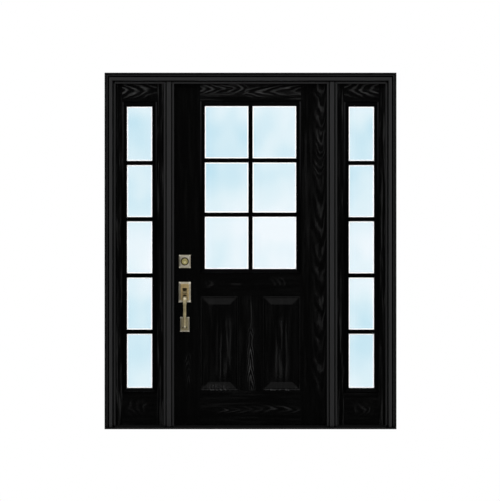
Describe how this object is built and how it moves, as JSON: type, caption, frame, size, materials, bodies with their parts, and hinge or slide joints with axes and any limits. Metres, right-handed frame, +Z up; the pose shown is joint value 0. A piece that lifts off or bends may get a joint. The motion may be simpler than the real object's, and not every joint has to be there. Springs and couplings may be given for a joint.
{
  "type": "entrance door with sidelites",
  "caption": "Black stile-and-rail entrance door, half glazed over raised panels, hung between fixed glazed sidelites in a moulded frame, with deadbolt and thumb-latch pull.",
  "frame": {"origin": "middle of the sill's underside, in the plane of the wall's outer face", "axes": "+X to the right as seen from outside, +Y into the building, +Z up; the outside faces -Y"},
  "size_m": [1.705, 0.216, 2.0825],
  "materials": {
    "black_wood_grain": "black stain over open oak grain, satin",
    "black_frame_paint": "black paint, satin",
    "black_glazing_trim": "black, matte",
    "clear_glass": "clear sealed unit with a pale blue cast",
    "white_spacer": "white, satin",
    "black_sill_metal": "black anodised",
    "black_rubber": "matte",
    "antique_brass": "antique, satin brushed"
  },
  "bodies": {
    "frame": {"brickmould_left": "black_frame_paint", "brickmould_right": "black_frame_paint", "brickmould_head": "black_frame_paint", "jamb_left": "black_frame_paint", "jamb_right": "black_frame_paint", "jamb_head": "black_frame_paint", "mullion_left": "black_frame_paint", "mullion_right": "black_frame_paint", "mullion_covers_outside": "black_frame_paint", "mullion_covers_inside": "black_frame_paint", "sill": "black_sill_metal", "door_threshold": "black_sill_metal", "sidelite_sill_blocks": "black_sill_metal", "weatherstrip": "black_rubber", "strike_plates": "antique_brass", "sidelite_stiles": "black_wood_grain", "sidelite_rails": "black_wood_grain", "sidelite_glass": "clear_glass", "sidelite_spacer_grids": "white_spacer", "sidelite_glazing_beads": "black_glazing_trim", "sidelite_muntins": "black_glazing_trim", "hinge_leaves_frame": "antique_brass", "hinge_pins": "antique_brass"},
    "door_leaf": {"lock_stile": "black_wood_grain", "hinge_stile": "black_wood_grain", "top_rail": "black_wood_grain", "lock_rail": "black_wood_grain", "bottom_rail": "black_wood_grain", "mid_stile": "black_wood_grain", "door_panels": "black_wood_grain", "panel_mouldings": "black_wood_grain", "door_glass": "clear_glass", "door_spacer_grid": "white_spacer", "door_glazing_beads": "black_glazing_trim", "door_muntins": "black_glazing_trim", "door_sweep": "black_rubber", "hinge_leaves_door": "antique_brass", "edge_faceplates": "antique_brass", "deadbolt_rosette": "antique_brass", "deadbolt_cylinder": "antique_brass", "deadbolt_thumbturn": "antique_brass", "handle_plate_upper": "antique_brass", "handle_grip": "antique_brass", "handle_plate_lower": "antique_brass", "inside_knob": "antique_brass"},
    "thumb_latch": {"thumb_latch": "antique_brass"}
  },
  "joints": [
    {"name": "door_swing", "type": "hinge", "parent": "frame", "child": "door_leaf", "pos_m": [0.4565, 0.124, 0], "axis": [0, 0, -1], "range_deg": [0, 105]},
    {"name": "thumb_latch_tilt", "type": "hinge", "parent": "door_leaf", "child": "thumb_latch", "pos_m": [-0.384, 0.076, 0.803], "axis": [1, 0, 0], "range_deg": [0, 14], "stiffness_Nm_per_rad": 0.6, "springref_deg": -11.46}
  ]
}
